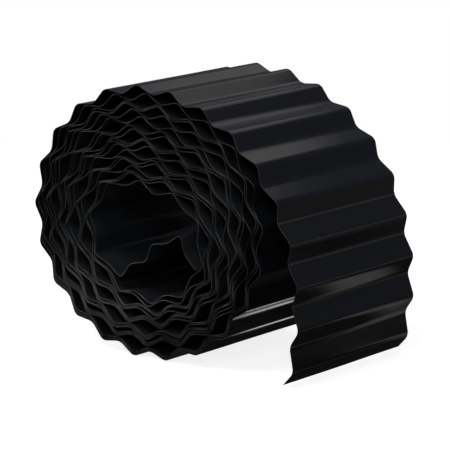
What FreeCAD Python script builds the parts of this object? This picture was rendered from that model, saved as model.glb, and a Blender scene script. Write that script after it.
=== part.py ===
import FreeCAD, Part
import math
import os

# Plastic lawn edging: one long strip of wavy plastic, rolled up on itself and lying on its side.
# The roll's axis runs along Y, its near end faces -Y, the loose outer end hangs down on the +X side.
# Millimetres. The origin is the middle of the footprint, at floor level.

os.makedirs("parts", exist_ok=True)
doc = FreeCAD.newDocument("lawn_edging")

# Sizes

sheet = doc.addObject("Spreadsheet::Sheet", "sizes")
sizes = [
    ("strip_width", 150.0, "height of the edging, which is the length of the roll along Y"),
    ("strip_thickness", 0.5, "thickness of the plastic"),
    ("wave_pitch", 32.32, "crest to crest along the strip"),
    ("wave_height", 6.53, "crest to trough on the middle of the plastic"),
    ("bend_radius", 7.5, "rounding of each crest and trough, on the middle of the plastic"),
    ("roll_width", 234.4, "crest to crest across the wound part"),
    ("roll_height", 217.2, "crest to crest up the wound part, which sags a little"),
    ("roll_turns", 17.669, "turns from the outer end to where the inner end leaves the bore's wall"),
    ("turn_gap", 0.888, "least spacing of two turns measured outwards, middle to middle"),
    ("turn_slack", 0.3, "softening of the spacing where one turn slides out of step with the next"),
    ("turn_ease", 0.8, "softening of the way in which a turn comes to lie against the one outside it"),
    ("wave_slip", 0.05, "how much the waves are squeezed or drawn out where turns press together"),
    ("slip_angle", 54.4, "direction in which that happens most, degrees clockwise from the top"),
    ("loose_angle", 127.9, "where the loose outer end stops, degrees clockwise from the top"),
    ("loose_phase", 164.7, "place of the cut end in its wave, 0 for a crest and 180 for a trough"),
    ("loose_lift", 26.3, "how far the loose end stands off the roll at a quarter turn"),
    ("loose_power", 2.60, "how quickly it lifts off"),
    ("tongue_x", 48.2, "where the inner end stops, right of the roll's middle"),
    ("tongue_z", -31.1, "where the inner end stops, below the roll's middle if less than nothing"),
    ("tongue_lead", 78.8, "how strongly the inner end keeps its way as it leaves the wall"),
    ("tongue_drop", 80.3, "how strongly it heads down at its tip"),
    ("tongue_pitch", 29.1, "crest to crest along the inner end"),
    ("tongue_tilt", 14.1, "lean of that last drop, degrees from upright"),
    ("core_inset", 30.0, "how far the plain core stops short of each end of the roll"),
]
for row, (name, value, note) in enumerate(sizes, start=1):
    sheet.set("A%d" % row, name)
    sheet.set("B%d" % row, "%g" % value)
    sheet.set("C%d" % row, note)
    sheet.setAlias("B%d" % row, name)
doc.recompute()


def size(name):
    return float(sheet.get(name))


width = size("strip_width")
thick = size("strip_thickness")
pitch = size("wave_pitch")
rise = size("wave_height") / 2
bend = size("bend_radius")
half_across = size("roll_width") / 2 - rise - thick / 2
half_up = size("roll_height") / 2 - rise - thick / 2
inset = size("core_inset")

STEP = math.radians(1.0)
PER_TURN = 360

# Straight flanks meet in a point this far from the middle level before the bend rounds it off

flank_angle = math.atan(2 * rise / (pitch / 2))
apex = rise + bend * (1 / math.cos(flank_angle) - 1)


# Room that two turns need when their waves are out of step by the given angle

def spacing(out_of_step):
    return size("turn_gap") + math.hypot(2 * rise * math.sin(out_of_step / 2), size("turn_slack"))


# Outline of the wound part, an oval, with the loose end lifting off it

def outer_radius(angle):
    across = half_up * math.sin(angle)
    up = half_across * math.cos(angle)
    radius = half_across * half_up / math.hypot(across, up)
    if angle > 0:
        radius += size("loose_lift") * (angle / (math.pi / 2)) ** size("loose_power")
    return radius


# The strip is followed inwards from its loose end. Each turn lies against the turn outside it.

slip_angle = math.radians(size("slip_angle"))
angles = []
radii = []
waves = []
angle = math.radians(size("loose_angle"))
turned = math.radians(size("loose_phase"))
for count in range(round(size("roll_turns") * PER_TURN) + 1):
    radius = outer_radius(angle)
    slip = 0.0
    if count >= PER_TURN:
        out_of_step = waves[count - PER_TURN] - turned
        within = radii[count - PER_TURN] - spacing(out_of_step)
        radius = (radius + within - math.hypot(radius - within, size("turn_ease"))) / 2
        slip = size("wave_slip") * max(0.0, math.cos(angle - slip_angle)) * math.sin(out_of_step)
    angles.append(angle)
    radii.append(radius)
    waves.append(turned)
    change = radii[-1] - radii[-2] if count else 0.0
    turned -= 2 * math.pi * math.hypot(radius * STEP, change) / pitch * (1 + slip)
    angle -= STEP
last = len(radii) - 1


# Place on the wound part, a share of the way between two steps, lifted off the middle level

def wound(step, share, lift):
    radius = radii[step] + share * (radii[step + 1] - radii[step]) + lift
    angle = angles[step] - share * STEP
    return (radius * math.sin(angle), radius * math.cos(angle))


# Inner end of the strip: it leaves the bore's wall, crosses the bore in an S and turns down

start = (radii[last] * math.sin(angles[last]), radii[last] * math.cos(angles[last]))
heading = (-math.cos(angles[last]), math.sin(angles[last]))
tilt = math.radians(size("tongue_tilt"))
tip = (size("tongue_x"), size("tongue_z"))
lead = tuple(start[i] + size("tongue_lead") * heading[i] for i in (0, 1))
drop = (tip[0] - size("tongue_drop") * math.sin(tilt), tip[1] + size("tongue_drop") * math.cos(tilt))
TONGUE_STEPS = 240


def spine(count):
    share = count / TONGUE_STEPS
    rest = 1 - share
    weights = (rest ** 3, 3 * rest ** 2 * share, 3 * rest * share ** 2, share ** 3)
    corners = (start, lead, drop, tip)
    return tuple(sum(w * c[i] for w, c in zip(weights, corners)) for i in (0, 1))


# Points of the zigzag, one on each crest and one in each trough

zigzag = [wound(0, 0.0, rise * math.cos(waves[0]))]
target = math.pi * math.floor(waves[0] / math.pi)
for step in range(last):
    while waves[step + 1] <= target:
        share = (waves[step] - target) / (waves[step] - waves[step + 1])
        zigzag.append(wound(step, share, apex * math.cos(target)))
        target -= math.pi
turned = waves[last]
before = start
for count in range(1, TONGUE_STEPS + 1):
    here = spine(count)
    run = math.hypot(here[0] - before[0], here[1] - before[1])
    along = ((here[0] - before[0]) / run, (here[1] - before[1]) / run)
    turned -= 2 * math.pi * run / size("tongue_pitch")
    if turned <= target or count == TONGUE_STEPS:
        lift = apex * math.cos(target) if turned <= target else rise * math.cos(turned)
        zigzag.append((here[0] + lift * along[1], here[1] - lift * along[0]))
        target -= math.pi
    before = here


# One side of the plastic, or its middle, as flanks and bends: (point, point) or (point, top, point)

def runs(corners, offset):
    ways = []
    for first, second in zip(corners, corners[1:]):
        run = math.hypot(second[0] - first[0], second[1] - first[1])
        ways.append(((second[0] - first[0]) / run, (second[1] - first[1]) / run))
    done = []
    here = (corners[0][0] - offset * ways[0][1], corners[0][1] + offset * ways[0][0])
    for i in range(1, len(corners) - 1):
        one, two = ways[i - 1], ways[i]
        turn = math.atan2(one[0] * two[1] - one[1] * two[0], one[0] * two[0] + one[1] * two[1])
        hand = math.copysign(1.0, turn)
        cut = bend * math.tan(abs(turn) / 2)
        radius = bend - hand * offset
        middle = (
            corners[i][0] - cut * one[0] - hand * bend * one[1],
            corners[i][1] - cut * one[1] + hand * bend * one[0],
        )
        arc = []
        for share in (0.0, 0.5, 1.0):
            way = math.atan2(one[1], one[0]) + share * turn
            arc.append((
                middle[0] + hand * radius * math.sin(way),
                middle[1] - hand * radius * math.cos(way),
            ))
        done.append((here, arc[0]))
        done.append(tuple(arc))
        here = arc[2]
    end = (corners[-1][0] - offset * ways[-1][1], corners[-1][1] + offset * ways[-1][0])
    done.append((here, end))
    return done


outer = runs(zigzag, thick / 2)
inner = runs(zigzag, -thick / 2)

# The roll stands on the floor and in the middle of its footprint

reach = [p for run in outer + inner for p in run]
shift_x = -(min(p[0] for p in reach) + max(p[0] for p in reach)) / 2
shift_z = -min(p[1] for p in reach)


def vector(point):
    return FreeCAD.Vector(point[0] + shift_x, 0.0, point[1] + shift_z)


def edges(side):
    shapes = []
    for run in side:
        if len(run) == 3:
            shapes.append(Part.Arc(*[vector(p) for p in run]).toShape())
        else:
            shapes.append(Part.makeLine(vector(run[0]), vector(run[1])))
    return shapes


def closing(first, second):
    return Part.makeLine(vector(first), vector(second))


# Strip: its section swept along the full width

strip_wire = Part.Wire(
    edges(outer)
    + [closing(outer[-1][-1], inner[-1][-1])]
    + edges([run[::-1] for run in inner[::-1]])
    + [closing(inner[0][0], outer[0][0])]
)
strip_section = doc.addObject("Part::Feature", "strip_section")
strip_section.Shape = Part.Face(strip_wire)
strip = doc.addObject("Part::Extrusion", "strip")
strip.Base = strip_section
strip.DirMode = "Custom"
strip.Dir = FreeCAD.Vector(0, 1, 0)
strip.Solid = True
strip.setExpression("LengthFwd", "sizes.strip_width")

# Core: the wound part filled from the innermost turn to the outermost, set in at both ends.
# Its two walls run inside the plastic of those turns.

middle = runs(zigzag, 0.0)
NEARLY_A_TURN = 350.0


def swept(run):
    # degrees that the middle of this flank or bend lies round from the top, clockwise
    x = (run[0][0] + run[-1][0]) / 2
    z = (run[0][1] + run[-1][1]) / 2
    return math.degrees(math.atan2(x, z))


def turn_of(first, way):
    # the runs of all but a few degrees of one turn, from the given run on
    total = 0.0
    count = first
    while total < NEARLY_A_TURN:
        change = (swept(middle[count]) - swept(middle[count + way]) + 180.0) % 360.0 - 180.0
        total += abs(change)
        count += way
    low, high = min(first, count), max(first, count)
    return middle[low:high + 1]


def ring_face(turn):
    return Part.Face(Part.Wire(edges(turn) + [closing(turn[-1][-1], turn[0][0])]))


half_waves = int((waves[0] - waves[last]) / math.pi)
flanks = [i for i, run in enumerate(middle) if len(run) == 2]
first_lying = next(i for i in flanks if swept(middle[i]) < 0)
last_lying = max(i for i in flanks if i < 2 * half_waves)
outer_disc = ring_face(turn_of(first_lying, 1))
bore_disc = ring_face(turn_of(last_lying, -1))
core_section = doc.addObject("Part::Feature", "core_section")
core_section.Shape = outer_disc.cut(bore_disc)
core = doc.addObject("Part::Extrusion", "core")
core.Base = core_section
core.DirMode = "Custom"
core.Dir = FreeCAD.Vector(0, 1, 0)
core.Solid = True
core.setExpression("LengthFwd", "sizes.strip_width - 2 * sizes.core_inset")
core.setExpression("Placement.Base.y", "sizes.core_inset")

# One piece

roll = doc.addObject("Part::Fuse", "edging_strip")
roll.Label = "edging_strip"
roll.Base = core
roll.Tool = strip
roll.setExpression("Placement.Base.y", "-sizes.strip_width / 2")

doc.recompute()
for thing in doc.Objects:
    if "Invalid" in thing.State or "Error" in thing.State:
        raise RuntimeError("%s did not compute" % thing.Label)
    if hasattr(thing, "Shape") and (thing.Shape.isNull() or not thing.Shape.isValid()):
        raise RuntimeError("%s has no sound shape" % thing.Label)
if len(roll.Shape.Solids) != 1:
    raise RuntimeError("the roll is not one solid")
roll.Shape.exportStep("parts/%s.step" % roll.Label)
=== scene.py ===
"""Plastic lawn edging in a roll: one long wavy strip, wound up and lying on its side.

Metres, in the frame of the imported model. The roll's axis runs along Y, the end seen in the photo faces -Y,
and the strip's loose outer end hangs down on the +X side.
"""

import math

import bmesh
import bpy
from mathutils import Euler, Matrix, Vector, noise


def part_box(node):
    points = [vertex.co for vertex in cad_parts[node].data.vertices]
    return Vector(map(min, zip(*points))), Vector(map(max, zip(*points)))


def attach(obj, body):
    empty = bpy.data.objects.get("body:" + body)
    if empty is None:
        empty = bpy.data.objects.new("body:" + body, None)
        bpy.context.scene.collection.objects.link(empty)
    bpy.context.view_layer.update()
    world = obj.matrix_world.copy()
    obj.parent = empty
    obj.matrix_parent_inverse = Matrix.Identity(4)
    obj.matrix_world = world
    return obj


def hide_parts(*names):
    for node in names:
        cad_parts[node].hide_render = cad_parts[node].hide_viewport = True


bl_info = {
    "name": "Lawn Edging Roll",
    "version": (1, 0, 0),
    "blender": (4, 5, 0),
    "location": "View3D > Sidebar > Edging",
    "description": "Makes a roll of wavy plastic lawn edging with a loose end, and a plain stage for it",
    "category": "Add Mesh",
}

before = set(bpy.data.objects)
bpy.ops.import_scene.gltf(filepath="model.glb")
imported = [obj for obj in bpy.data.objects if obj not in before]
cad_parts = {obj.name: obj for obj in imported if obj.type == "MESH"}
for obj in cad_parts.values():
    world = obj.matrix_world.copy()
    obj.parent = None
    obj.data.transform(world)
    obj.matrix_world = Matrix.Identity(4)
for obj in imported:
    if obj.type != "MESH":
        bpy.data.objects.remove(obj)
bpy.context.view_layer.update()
LOW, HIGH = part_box("edging_strip")


# Sizes and colours that a user would change

class EdgingSettings(bpy.types.PropertyGroup):
    """Sizes of the strip and of the way it is wound"""

    strip_width: bpy.props.FloatProperty(
        name="Strip Height", description="Height of the edging, which is the roll's length",
        default=HIGH[1] - LOW[1], min=0.02, unit="LENGTH",
    )
    strip_thickness: bpy.props.FloatProperty(
        name="Plastic Thickness", description="Thickness of the plastic",
        default=0.0005, min=0.0002, precision=4, unit="LENGTH",
    )
    wave_pitch: bpy.props.FloatProperty(
        name="Wave Pitch", description="Crest to crest along the strip",
        default=0.03232, min=0.005, precision=4, unit="LENGTH",
    )
    wave_height: bpy.props.FloatProperty(
        name="Wave Height", description="Crest to trough on the middle of the plastic",
        default=0.00653, min=0.001, precision=4, unit="LENGTH",
    )
    bend_radius: bpy.props.FloatProperty(
        name="Bend Radius", description="Rounding of each crest and trough",
        default=0.0075, min=0.001, precision=4, unit="LENGTH",
    )
    roll_width: bpy.props.FloatProperty(
        name="Roll Width", description="Crest to crest across the wound part",
        default=0.2344, min=0.05, unit="LENGTH",
    )
    roll_height: bpy.props.FloatProperty(
        name="Roll Height", description="Crest to crest up the wound part, which sags a little",
        default=0.2172, min=0.05, unit="LENGTH",
    )
    roll_turns: bpy.props.FloatProperty(
        name="Turns", description="Turns from the loose end to where the inner end leaves the bore's wall",
        default=17.669, min=2.0,
    )
    turn_gap: bpy.props.FloatProperty(
        name="Turn Gap", description="Least spacing of two turns, middle to middle",
        default=0.000888, min=0.0007, precision=6, unit="LENGTH",
    )
    turn_slack: bpy.props.FloatProperty(
        name="Turn Slack", description="Softening of the spacing where turns slide out of step",
        default=0.0003, min=0.0, precision=4, unit="LENGTH",
    )
    wave_slip: bpy.props.FloatProperty(
        name="Wave Slip", description="How much waves are squeezed where turns press together",
        default=0.05, min=0.0, max=0.2,
    )
    slip_angle: bpy.props.FloatProperty(
        name="Slip Direction", description="Direction of the most slip, clockwise from the top",
        default=math.radians(54.4), subtype="ANGLE",
    )
    loose_angle: bpy.props.FloatProperty(
        name="Loose End", description="Where the loose end stops, clockwise from the top",
        default=math.radians(127.9), subtype="ANGLE",
    )
    loose_phase: bpy.props.FloatProperty(
        name="Loose End Phase", description="Place of the cut end in its wave",
        default=math.radians(164.7), subtype="ANGLE",
    )
    loose_lift: bpy.props.FloatProperty(
        name="Loose Lift", description="How far the loose end stands off the roll at a quarter turn",
        default=0.0263, min=0.0, unit="LENGTH",
    )
    loose_power: bpy.props.FloatProperty(
        name="Loose Power", description="How quickly the loose end lifts off", default=2.6, min=1.0,
    )
    tongue_x: bpy.props.FloatProperty(
        name="Inner End Across", description="Where the inner end stops, right of the roll's middle",
        default=0.0482, precision=4, unit="LENGTH",
    )
    tongue_z: bpy.props.FloatProperty(
        name="Inner End Up", description="Where the inner end stops, above the roll's middle",
        default=-0.0311, precision=4, unit="LENGTH",
    )
    tongue_lead: bpy.props.FloatProperty(
        name="Inner End Lead", description="How strongly the inner end keeps its way off the wall",
        default=0.0788, precision=4, unit="LENGTH",
    )
    tongue_drop: bpy.props.FloatProperty(
        name="Inner End Drop", description="How strongly the inner end heads down at its tip",
        default=0.0803, precision=4, unit="LENGTH",
    )
    tongue_pitch: bpy.props.FloatProperty(
        name="Inner End Pitch", description="Crest to crest along the inner end",
        default=0.0291, precision=4, unit="LENGTH",
    )
    tongue_tilt: bpy.props.FloatProperty(
        name="Inner End Tilt", description="Lean of the tip from upright",
        default=math.radians(14.1), subtype="ANGLE",
    )
    edge_play: bpy.props.FloatProperty(
        name="Edge Play", description="How far turns stand out of line with each other at the ends",
        default=0.0006, min=0.0, precision=4, unit="LENGTH",
    )
    warp: bpy.props.FloatProperty(
        name="Warp", description="Slow unevenness of the strip along its height",
        default=0.0007, min=0.0, precision=4, unit="LENGTH",
    )


class PlasticSettings(bpy.types.PropertyGroup):
    """Finish of the plastic"""

    plastic_color: bpy.props.FloatVectorProperty(
        name="Plastic", description="Colour of the plastic", subtype="COLOR", size=4,
        default=(0.0060, 0.0070, 0.0085, 1.0), min=0.0, max=1.0,
    )
    cut_color: bpy.props.FloatVectorProperty(
        name="Cut Edge", description="Colour of the strip's cut edges", subtype="COLOR", size=4,
        default=(0.015, 0.015, 0.0152, 1.0), min=0.0, max=1.0,
    )
    # painted light: a paler, bluish colour that lifts the inner turns and the bore out of their shade
    inner_light_color: bpy.props.FloatVectorProperty(
        name="Painted Light Inside", description="Colour of the inner turns, which hold some dust",
        subtype="COLOR", size=4, default=(0.0145, 0.0165, 0.0185, 1.0), min=0.0, max=1.0,
    )
    # painted highlight: the colour of the lines along the loose end's folds
    fold_highlight_color: bpy.props.FloatVectorProperty(
        name="Folds", description="Colour of the paler lines along the loose end's folds",
        subtype="COLOR", size=4, default=(0.050, 0.045, 0.042, 1.0), min=0.0, max=1.0,
    )
    gloss_roughness: bpy.props.FloatProperty(
        name="Roughness", description="Roughness of the moulded faces", default=0.17, min=0.0, max=1.0,
    )


class StageSettings(bpy.types.PropertyGroup):
    """Floor, lamps and camera"""

    floor_size: bpy.props.FloatProperty(
        name="Floor Size", description="Side of the square floor", default=12.0, unit="LENGTH",
    )
    camera_azimuth: bpy.props.FloatProperty(
        name="Camera Azimuth", description="Round from the near end towards the loose end",
        default=math.radians(39.07), subtype="ANGLE",
    )
    camera_elevation: bpy.props.FloatProperty(
        name="Camera Elevation", description="Above the horizon",
        default=math.radians(11.9), subtype="ANGLE",
    )
    camera_place: bpy.props.FloatVectorProperty(
        name="Camera Place", description="Where the camera stands", subtype="TRANSLATION", size=3,
        default=(1.3023, -1.6011, 0.5312),
    )
    view_angle: bpy.props.FloatProperty(
        name="View Angle", description="Angle that the square picture spans",
        default=math.radians(9.657), subtype="ANGLE",
    )


# Winding

STEP = math.radians(1.0)
PER_TURN = 360
TONGUE_STEPS = 240
# softens the corner where the roll's oval outside meets the spiral
CONTACT = 0.0008


class Winding:
    """The strip followed inwards from its loose end, each turn lying against the turn outside it"""

    def __init__(self, s):
        self.s = s
        self.rise = s.wave_height / 2
        flank_angle = math.atan(2 * self.rise / (s.wave_pitch / 2))
        self.apex = self.rise + s.bend_radius * (1 / math.cos(flank_angle) - 1)
        self.half_across = s.roll_width / 2 - self.rise - s.strip_thickness / 2
        self.half_up = s.roll_height / 2 - self.rise - s.strip_thickness / 2
        self.angles = []
        self.radii = []
        self.waves = []
        self.follow()

    def outer_radius(self, angle):
        across = self.half_up * math.sin(angle)
        up = self.half_across * math.cos(angle)
        radius = self.half_across * self.half_up / math.hypot(across, up)
        if angle > 0:
            radius += self.s.loose_lift * (angle / (math.pi / 2)) ** self.s.loose_power
        return radius

    def spacing(self, out_of_step):
        clash = 2 * self.rise * math.sin(out_of_step / 2)
        return self.s.turn_gap + math.hypot(clash, self.s.turn_slack)

    def follow(self):
        s = self.s
        angle = s.loose_angle
        turned = s.loose_phase
        for count in range(round(s.roll_turns * PER_TURN) + 1):
            radius = self.outer_radius(angle)
            slip = 0.0
            if count >= PER_TURN:
                out_of_step = self.waves[count - PER_TURN] - turned
                within = self.radii[count - PER_TURN] - self.spacing(out_of_step)
                radius = (radius + within - math.hypot(radius - within, CONTACT)) / 2
                pressed = max(0.0, math.cos(angle - s.slip_angle))
                slip = s.wave_slip * pressed * math.sin(out_of_step)
            change = radius - self.radii[-1] if count else 0.0
            self.angles.append(angle)
            self.radii.append(radius)
            self.waves.append(turned)
            turned -= 2 * math.pi * math.hypot(radius * STEP, change) / s.wave_pitch * (1 + slip)
            angle -= STEP

    def wound(self, step, share, lift):
        """A place on the wound part, a share of the way between two steps"""
        radius = self.radii[step] + share * (self.radii[step + 1] - self.radii[step]) + lift
        angle = self.angles[step] - share * STEP
        return Vector((radius * math.sin(angle), 0.0, radius * math.cos(angle)))

    def spine(self, share):
        """The inner end's middle level, from the bore's wall to its tip"""
        s = self.s
        angle = self.angles[-1]
        start = self.radii[-1] * Vector((math.sin(angle), 0.0, math.cos(angle)))
        lead = start + s.tongue_lead * Vector((-math.cos(angle), 0.0, math.sin(angle)))
        tip = Vector((s.tongue_x, 0.0, s.tongue_z))
        drop = tip + s.tongue_drop * Vector((-math.sin(s.tongue_tilt), 0.0, math.cos(s.tongue_tilt)))
        rest = 1 - share
        return (
            rest ** 3 * start + 3 * rest ** 2 * share * lead
            + 3 * rest * share ** 2 * drop + share ** 3 * tip
        )

    def zigzag(self):
        """One point on each crest and one in each trough, from the loose end to the inner end"""
        waves = self.waves
        points = [self.wound(0, 0.0, self.rise * math.cos(waves[0]))]
        target = math.pi * math.floor(waves[0] / math.pi)
        for step in range(len(waves) - 1):
            while waves[step + 1] <= target:
                share = (waves[step] - target) / (waves[step] - waves[step + 1])
                points.append(self.wound(step, share, self.apex * math.cos(target)))
                target -= math.pi
        turned = waves[-1]
        before = self.spine(0.0)
        for count in range(1, TONGUE_STEPS + 1):
            here = self.spine(count / TONGUE_STEPS)
            along = here - before
            turned -= 2 * math.pi * along.length / self.s.tongue_pitch
            along.normalize()
            if turned <= target or count == TONGUE_STEPS:
                lift = self.apex * math.cos(target) if turned <= target else self.rise * math.cos(turned)
                points.append(here + lift * Vector((along.z, 0.0, -along.x)))
                target -= math.pi
            before = here
        return points


# Finishes

PLASTIC_IOR = 1.5
SHINE = 0.5
DULLED_SHINE = 0.08
PATCH_SCALE = 14.0
PATCH_DETAIL = 4.0
PATCH_SPREAD = (0.3, 0.7)
PATCH_GLOSSIER = 0.04
PATCH_DULLER = 0.06
DRAWN_SCALE = (6.0, 500.0, 6.0)
DRAWN_DETAIL = 2.0
DRAWN_STRENGTH = 0.05
DRAWN_DEPTH = 0.0002
CUT_ROUGHNESS = 0.26
# painted highlights: random paler patches on the cut edges that stand in for glints
GLINT_SCALE = 70.0
GLINT_DETAIL = 3.0
GLINT_SPREAD = (0.38, 0.66)
GLINT_SHARES = (0.35, 2.6)


def plastic(name, finish):
    """Smooth moulded plastic: faint lengthwise drawing lines, soft unevenness and a few dull patches"""
    material = bpy.data.materials.new(name)
    material.use_nodes = True
    nodes = material.node_tree.nodes
    links = material.node_tree.links
    shader = nodes["Principled BSDF"]
    shader.inputs["IOR"].default_value = PLASTIC_IOR
    # painted highlights: a paler colour along the ridge of each fold of the loose end
    fold = nodes.new("ShaderNodeAttribute")
    fold.attribute_name = "fold"
    # painted light: the inner turns and the bore are mixed towards a paler, bluish colour
    inner_light = nodes.new("ShaderNodeAttribute")
    inner_light.attribute_name = "inner_light"
    lit_inner = nodes.new("ShaderNodeMix")
    lit_inner.data_type = "RGBA"
    lit_inner.inputs["A"].default_value = finish.plastic_color
    lit_inner.inputs["B"].default_value = finish.inner_light_color
    links.new(inner_light.outputs["Fac"], lit_inner.inputs["Factor"])
    fold_highlighted = nodes.new("ShaderNodeMix")
    fold_highlighted.data_type = "RGBA"
    links.new(lit_inner.outputs["Result"], fold_highlighted.inputs["A"])
    fold_highlighted.inputs["B"].default_value = finish.fold_highlight_color
    links.new(fold.outputs["Fac"], fold_highlighted.inputs["Factor"])
    links.new(fold_highlighted.outputs["Result"], shader.inputs["Base Color"])

    # the upper wall of the bore loses most of its shine
    dull = nodes.new("ShaderNodeAttribute")
    dull.attribute_name = "dull"
    shine = nodes.new("ShaderNodeMapRange")
    shine.inputs["To Min"].default_value = SHINE
    shine.inputs["To Max"].default_value = DULLED_SHINE
    links.new(dull.outputs["Fac"], shine.inputs["Value"])
    links.new(shine.outputs["Result"], shader.inputs["Specular IOR Level"])

    place = nodes.new("ShaderNodeTexCoord")

    patches = nodes.new("ShaderNodeTexNoise")
    patches.inputs["Scale"].default_value = PATCH_SCALE
    patches.inputs["Detail"].default_value = PATCH_DETAIL
    links.new(place.outputs["Object"], patches.inputs["Vector"])
    dullness = nodes.new("ShaderNodeMapRange")
    dullness.inputs["From Min"].default_value = PATCH_SPREAD[0]
    dullness.inputs["From Max"].default_value = PATCH_SPREAD[1]
    dullness.inputs["To Min"].default_value = finish.gloss_roughness - PATCH_GLOSSIER
    dullness.inputs["To Max"].default_value = finish.gloss_roughness + PATCH_DULLER
    links.new(patches.outputs["Fac"], dullness.inputs["Value"])
    links.new(dullness.outputs["Result"], shader.inputs["Roughness"])

    stretch = nodes.new("ShaderNodeMapping")
    stretch.inputs["Scale"].default_value = DRAWN_SCALE
    links.new(place.outputs["Object"], stretch.inputs["Vector"])
    drawn = nodes.new("ShaderNodeTexNoise")
    drawn.inputs["Scale"].default_value = 1.0
    drawn.inputs["Detail"].default_value = DRAWN_DETAIL
    links.new(stretch.outputs["Vector"], drawn.inputs["Vector"])
    lines = nodes.new("ShaderNodeBump")
    lines.inputs["Strength"].default_value = DRAWN_STRENGTH
    lines.inputs["Distance"].default_value = DRAWN_DEPTH
    links.new(drawn.outputs["Fac"], lines.inputs["Height"])
    links.new(lines.outputs["Normal"], shader.inputs["Normal"])
    return material


def cut_plastic(name, color):
    """Plastic where the strip was cut: paler and less glossy, with random paler patches painted in as glints
    """
    material = bpy.data.materials.new(name)
    material.use_nodes = True
    nodes = material.node_tree.nodes
    links = material.node_tree.links
    shader = nodes["Principled BSDF"]
    shader.inputs["Roughness"].default_value = CUT_ROUGHNESS
    place = nodes.new("ShaderNodeTexCoord")
    # painted highlights: the cut colour is scaled up and down in random patches, standing in for glints
    glint_patches = nodes.new("ShaderNodeTexNoise")
    glint_patches.inputs["Scale"].default_value = GLINT_SCALE
    glint_patches.inputs["Detail"].default_value = GLINT_DETAIL
    links.new(place.outputs["Object"], glint_patches.inputs["Vector"])
    share = nodes.new("ShaderNodeMapRange")
    share.inputs["From Min"].default_value = GLINT_SPREAD[0]
    share.inputs["From Max"].default_value = GLINT_SPREAD[1]
    share.inputs["To Min"].default_value = GLINT_SHARES[0]
    share.inputs["To Max"].default_value = GLINT_SHARES[1]
    links.new(glint_patches.outputs["Fac"], share.inputs["Value"])
    paler = nodes.new("ShaderNodeVectorMath")
    paler.operation = "SCALE"
    paler.inputs["Vector"].default_value = color[:3]
    links.new(share.outputs["Result"], paler.inputs["Scale"])
    links.new(paler.outputs["Vector"], shader.inputs["Base Color"])
    return material


# Strip

WIDTH_PARTS = 6
BEND_SEGMENTS = 6
TAIL_FOLDS = 9
# width of the painted highlight line on each side of a fold
FOLD_HIGHLIGHT_WIDTH = 0.0005
# where the inner turns get painted light and where the upper wall of the bore loses its shine: distances
# from the roll's axis, a height and a fade
BORE_RADIUS = 0.066
INNER_LIGHT_RADIUS = 0.098
DULL_FROM = 0.088
MASK_FADE = 0.008
# softened corners of the cut edges: a share of the plastic's thickness, and what counts as a corner
SOFT_SHARE = 0.3
SOFT_SEGMENTS = 2
SHARP_ANGLE = math.radians(60.0)
# unevenness: waves per metre along the edges and in the sheet, and where the second pattern starts
EDGE_WAVES = 9.0
WARP_WAVES = 12.0
WARP_START = Vector((5.0, 3.0, 1.0))


def add_strip(settings):
    """The wavy sheet, drawn out from its zigzag and rounded at each fold, before it gets its thickness"""
    winding = Winding(settings)
    corners = winding.zigzag()
    half = settings.strip_width / 2 - settings.edge_play

    bm = bmesh.new()
    chain = [bm.verts.new(corner) for corner in corners]
    bends = [bm.edges.new(pair) for pair in zip(chain, chain[1:])]
    bmesh.ops.translate(bm, verts=chain, vec=(0.0, -half, 0.0))
    for part in range(WIDTH_PARTS):
        made = bmesh.ops.extrude_edge_only(bm, edges=bends)["geom"]
        bends = [item for item in made if isinstance(item, bmesh.types.BMEdge)]
        moved = [item for item in made if isinstance(item, bmesh.types.BMVert)]
        bmesh.ops.translate(bm, verts=moved, vec=(0.0, 2 * half / WIDTH_PARTS, 0.0))

    folds = [
        edge for edge in bm.edges
        if len(edge.link_faces) == 2 and abs(edge.verts[0].co.y - edge.verts[1].co.y) > half / WIDTH_PARTS
    ]
    # half a crest's turn: the slope of one flank and half of the roll's own curve between two crests
    turn = math.atan(settings.wave_height / (settings.wave_pitch / 2))
    turn += settings.wave_pitch / (settings.roll_width + settings.roll_height)
    bmesh.ops.bevel(
        bm, geom=folds, offset=settings.bend_radius * math.tan(turn), offset_type="OFFSET",
        segments=BEND_SEGMENTS, profile=0.5, affect="EDGES", material=-1,
    )
    paint_fold_highlights(bm, corners[1:TAIL_FOLDS], settings.bend_radius * (1 / math.cos(turn) - 1))
    return bm


def paint_fold_highlights(bm, corners, apex_gap):
    """Mark the ridge of each fold of the loose end, where a paler line is painted in as a highlight"""
    fold = bm.verts.layers.float.new("fold")
    for vert in bm.verts:
        away = min(math.hypot(vert.co.x - corner.x, vert.co.z - corner.z) for corner in corners)
        vert[fold] = max(0.0, 1.0 - (away - apex_gap) / FOLD_HIGHLIGHT_WIDTH)


def mark_inner_light_and_dull_wall(bm, axis):
    """Mark the inner turns, which get painted light, and the upper wall of the bore, which loses most of its
    shine
    """
    dull = bm.verts.layers.float.new("dull")
    inner_light = bm.verts.layers.float.new("inner_light")
    for vert in bm.verts:
        radius = math.hypot(vert.co.x - axis.x, vert.co.z - axis.z)
        inside = min(max((BORE_RADIUS - radius) / MASK_FADE, 0.0), 1.0)
        above = min(max((vert.co.z - DULL_FROM) / MASK_FADE, 0.0), 1.0)
        vert[dull] = inside * above
        # painted light on the turns near the roll's axis
        vert[inner_light] = min(max((INNER_LIGHT_RADIUS - radius) / MASK_FADE, 0.0), 1.0)


def finish_mesh(bm, name):
    mesh = bpy.data.meshes.new(name)
    bm.to_mesh(mesh)
    bm.free()
    piece = bpy.data.objects.new(name, mesh)
    bpy.context.collection.objects.link(piece)
    return piece


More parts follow.
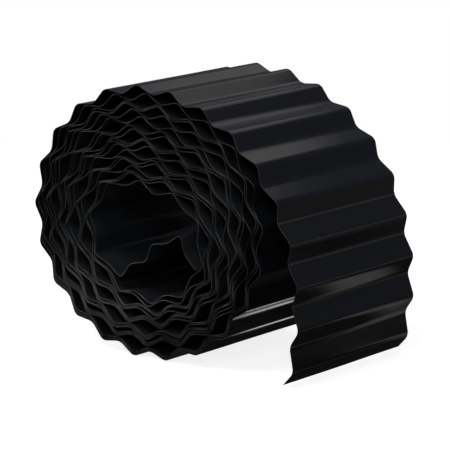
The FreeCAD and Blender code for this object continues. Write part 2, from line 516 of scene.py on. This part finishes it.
class EDGING_OT_add_strip(bpy.types.Operator):
    """Add the wound strip of wavy plastic"""

    bl_idname = "edging.add_strip"
    bl_label = "Edging Strip"
    bl_options = {"REGISTER", "UNDO"}

    def execute(self, context):
        settings = context.scene.edging
        finish = context.scene.edging_plastic
        bm = add_strip(settings)

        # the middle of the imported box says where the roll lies, and the shift is also where its axis comes
        low_x = min(vert.co.x for vert in bm.verts)
        high_x = max(vert.co.x for vert in bm.verts)
        low_z = min(vert.co.z for vert in bm.verts)
        high_z = max(vert.co.z for vert in bm.verts)
        middle = Vector((
            (LOW[0] + HIGH[0]) / 2 - (low_x + high_x) / 2,
            (LOW[1] + HIGH[1]) / 2,
            (LOW[2] + HIGH[2]) / 2 - (low_z + high_z) / 2,
        ))
        bmesh.ops.translate(bm, verts=bm.verts[:], vec=middle)
        for vert in bm.verts:
            settle(vert, settings, middle)
        mark_inner_light_and_dull_wall(bm, middle)
        bmesh.ops.recalc_face_normals(bm, faces=bm.faces[:])
        for face in bm.faces:
            face.smooth = True
        for edge in bm.edges:
            edge.smooth = not edge.is_boundary

        piece = finish_mesh(bm, "edging_strip_plastic")
        piece.data.materials.append(plastic("black plastic", finish))
        piece.data.materials.append(cut_plastic("cut plastic edge", finish.cut_color))

        thicken = piece.modifiers.new("thickness", "SOLIDIFY")
        thicken.thickness = settings.strip_thickness
        thicken.offset = 0.0
        thicken.use_even_offset = True
        thicken.material_offset_rim = 1
        soften = piece.modifiers.new("softened edges", "BEVEL")
        soften.width = settings.strip_thickness * SOFT_SHARE
        soften.segments = SOFT_SEGMENTS
        soften.limit_method = "ANGLE"
        soften.angle_limit = SHARP_ANGLE
        soften.harden_normals = True

        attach(piece, "root")
        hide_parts("edging_strip")
        return {"FINISHED"}


def settle(vert, settings, axis):
    """Slow unevenness, nearly the same in neighbouring turns, so that none cuts through another"""
    spot = vert.co.copy()
    lean = noise.noise(spot * EDGE_WAVES)
    vert.co.y += settings.edge_play * lean
    push = -settings.warp * (1 + noise.noise(spot * WARP_WAVES + WARP_START)) / 2
    way = Vector((spot.x - axis.x, 0.0, spot.z - axis.z)).normalized()
    vert.co += push * way


# Stage

WARM = (1.0, 0.96, 0.91)
COOL = (0.86, 0.93, 1.0)
WHITE = (1.0, 1.0, 1.0, 1.0)
ROOM_COLOR = (0.085, 0.090, 0.115, 1.0)
ROLL_MIDDLE = (0.0, 0.0, 0.1)
SENSOR = 36.0
POOL_EDGE = 0.6

FLOOR_COLOR = (0.4, 0.4, 0.4, 1.0)
FLOOR_ROUGHNESS = 0.9
FLOOR_GLOW = 0.85
# what the plastic mirrors of the floor
MIRRORED_COLOR = (1.0, 0.93, 0.9, 1.0)
MIRRORED_LEVEL = 0.10
# each with its place, its reach and its level
SHADOWED = ((0.0, 0.1, 0.0), (0.9, 0.9, 1.0), 1.0)
BEYOND = ((0.175, 0.105, 0.0), (0.055, 0.060, 1.0), 0.36)
BEFORE = ((-0.20, -0.22, 0.0), (0.15, 0.13, 1.0), 3.2)
UNDER = ((0.054, 0.028, 0.0), (0.011, 0.070, 1.0), 2.4)
SHADE = ((0.12, 0.0, 0.0), (0.45, 0.45, 1.0), -0.08)


def area_lamp(name, place, target, size, size_y, power, color, roll=0.0):
    data = bpy.data.lights.new(name, "AREA")
    data.color = color
    data.shape = "RECTANGLE"
    data.size = size
    data.size_y = size_y
    data.energy = power
    lamp = bpy.data.objects.new(name, data)
    bpy.context.collection.objects.link(lamp)
    lamp.location = place
    lamp.visible_camera = False
    aim = (Vector(target) - Vector(place)).to_track_quat("-Z", "Y")
    lamp.rotation_euler = (aim @ Euler((0.0, 0.0, math.radians(roll))).to_quaternion()).to_euler()
    return lamp


def studio_world(world):
    """Dim bluish room for the light and the reflections, white behind the object"""
    world.use_nodes = True
    nodes = world.node_tree.nodes
    links = world.node_tree.links
    room = nodes["Background"]
    room.inputs["Color"].default_value = ROOM_COLOR
    white = nodes.new("ShaderNodeBackground")
    white.inputs["Color"].default_value = WHITE
    path = nodes.new("ShaderNodeLightPath")
    mix = nodes.new("ShaderNodeMixShader")
    links.new(path.outputs["Is Camera Ray"], mix.inputs["Fac"])
    links.new(room.outputs["Background"], mix.inputs[1])
    links.new(white.outputs["Background"], mix.inputs[2])
    links.new(mix.outputs["Shader"], nodes["World Output"].inputs["Surface"])


def pool(nodes, links, place, reach, glow):
    """A soft round or oval pool of light on the floor, as a number that falls to nothing at its rim"""
    coordinates = nodes.new("ShaderNodeTexCoord")
    shape = nodes.new("ShaderNodeMapping")
    shape.vector_type = "TEXTURE"
    shape.inputs["Location"].default_value = place
    shape.inputs["Scale"].default_value = reach
    gradient = nodes.new("ShaderNodeTexGradient")
    gradient.gradient_type = "SPHERICAL"
    soft = nodes.new("ShaderNodeMapRange")
    soft.interpolation_type = "SMOOTHSTEP"
    soft.inputs["From Max"].default_value = POOL_EDGE
    soft.inputs["To Max"].default_value = glow
    links.new(coordinates.outputs["Object"], shape.inputs["Vector"])
    links.new(shape.outputs["Vector"], gradient.inputs["Vector"])
    links.new(gradient.outputs["Fac"], soft.inputs["Value"])
    return soft.outputs["Result"]


def floor_material():
    """White floor with a light shadow, dim where the plastic mirrors it apart from three pools of light"""
    material = bpy.data.materials.new("white floor")
    material.use_nodes = True
    nodes = material.node_tree.nodes
    links = material.node_tree.links
    shader = nodes["Principled BSDF"]
    shader.inputs["Base Color"].default_value = FLOOR_COLOR
    shader.inputs["Roughness"].default_value = FLOOR_ROUGHNESS
    shader.inputs["Specular IOR Level"].default_value = 0.0
    glow = nodes.new("ShaderNodeEmission")
    glow.inputs["Strength"].default_value = FLOOR_GLOW
    add = nodes.new("ShaderNodeAddShader")
    links.new(shader.outputs["BSDF"], add.inputs[0])
    links.new(glow.outputs["Emission"], add.inputs[1])
    plain = nodes.new("ShaderNodeEmission")
    near = pool(nodes, links, *SHADOWED)
    fade = nodes.new("ShaderNodeMixShader")
    links.new(near, fade.inputs["Fac"])
    links.new(plain.outputs["Emission"], fade.inputs[1])
    links.new(add.outputs["Shader"], fade.inputs[2])

    level = None
    for place, reach, glow_level in (BEYOND, BEFORE, UNDER, SHADE):
        summed = nodes.new("ShaderNodeMath")
        summed.inputs[1].default_value = MIRRORED_LEVEL
        if level is not None:
            links.new(level, summed.inputs[1])
        links.new(pool(nodes, links, place, reach, glow_level), summed.inputs[0])
        level = summed.outputs["Value"]
    mirrored = nodes.new("ShaderNodeEmission")
    mirrored.inputs["Color"].default_value = MIRRORED_COLOR
    links.new(level, mirrored.inputs["Strength"])

    path = nodes.new("ShaderNodeLightPath")
    seen = nodes.new("ShaderNodeMixShader")
    links.new(path.outputs["Is Camera Ray"], seen.inputs["Fac"])
    links.new(shader.outputs["BSDF"], seen.inputs[1])
    links.new(fade.outputs["Shader"], seen.inputs[2])
    surface = nodes.new("ShaderNodeMixShader")
    links.new(path.outputs["Is Glossy Ray"], surface.inputs["Fac"])
    links.new(seen.outputs["Shader"], surface.inputs[1])
    links.new(mirrored.outputs["Emission"], surface.inputs[2])
    links.new(surface.outputs["Shader"], nodes["Material Output"].inputs["Surface"])
    return material


class EDGING_OT_add_stage(bpy.types.Operator):
    """Add the floor, the lamps and the camera"""

    bl_idname = "edging.add_stage"
    bl_label = "Stage"
    bl_options = {"REGISTER", "UNDO"}

    def execute(self, context):
        settings = context.scene.edging_stage
        bm = bmesh.new()
        bmesh.ops.create_grid(bm, x_segments=1, y_segments=1, size=settings.floor_size / 2)
        floor = finish_mesh(bm, "floor")
        floor.data.materials.append(floor_material())

        world = bpy.data.worlds.new("studio")
        context.scene.world = world
        studio_world(world)

        # each lamp's place, what it points at, its two sides, power, colour and roll
        area_lamp("back softbox", (-0.10, 0.53, 0.86), (-0.10, -0.42, 0.56), 0.57, 0.5, 0.36, WARM, -21.0)
        area_lamp("top softbox", (0.0, -0.9, 1.7), ROLL_MIDDLE, 0.9, 0.9, 16.0, WARM)
        area_lamp("front lamp", (1.3, -1.7, 1.4), ROLL_MIDDLE, 0.7, 0.7, 12.0, COOL)
        area_lamp("end lamp", (-0.2, -2.2, 0.45), ROLL_MIDDLE, 0.9, 0.6, 3.0, WARM)
        area_lamp("left softbox", (-1.5, -0.6, 0.9), ROLL_MIDDLE, 0.8, 0.8, 9.0, COOL)
        fill = area_lamp("back fill", (-0.8, 1.7, 0.9), ROLL_MIDDLE, 0.8, 0.8, 16.0, COOL)
        fill.visible_glossy = False

        data = bpy.data.cameras.new("camera")
        data.sensor_width = SENSOR
        data.sensor_height = SENSOR
        data.sensor_fit = "HORIZONTAL"
        data.angle = settings.view_angle
        camera = bpy.data.objects.new("camera", data)
        context.collection.objects.link(camera)
        camera.location = settings.camera_place
        camera.rotation_euler = (math.pi / 2 - settings.camera_elevation, 0.0, settings.camera_azimuth)
        context.scene.camera = camera
        context.scene.view_settings.view_transform = "Standard"
        return {"FINISHED"}


class EDGING_PT_panel(bpy.types.Panel):
    """Lists the pieces of the roll and their settings"""

    bl_idname = "EDGING_PT_panel"
    bl_label = "Lawn Edging"
    bl_space_type = "VIEW_3D"
    bl_region_type = "UI"
    bl_category = "Edging"

    def draw(self, context):
        layout = self.layout
        layout.operator(EDGING_OT_add_strip.bl_idname)
        for settings in (context.scene.edging, context.scene.edging_plastic):
            for name in settings.__annotations__:
                layout.prop(settings, name)
        layout.operator(EDGING_OT_add_stage.bl_idname)
        for name in context.scene.edging_stage.__annotations__:
            layout.prop(context.scene.edging_stage, name)


CLASSES = (
    EdgingSettings,
    PlasticSettings,
    StageSettings,
    EDGING_OT_add_strip,
    EDGING_OT_add_stage,
    EDGING_PT_panel,
)


def register():
    for item in CLASSES:
        bpy.utils.register_class(item)
    bpy.types.Scene.edging = bpy.props.PointerProperty(type=EdgingSettings)
    bpy.types.Scene.edging_plastic = bpy.props.PointerProperty(type=PlasticSettings)
    bpy.types.Scene.edging_stage = bpy.props.PointerProperty(type=StageSettings)


def unregister():
    del bpy.types.Scene.edging_stage
    del bpy.types.Scene.edging_plastic
    del bpy.types.Scene.edging
    for item in reversed(CLASSES):
        bpy.utils.unregister_class(item)


def main():
    register()
    bpy.ops.edging.add_strip()
    bpy.ops.edging.add_stage()


if __name__ == "__main__":
    main()
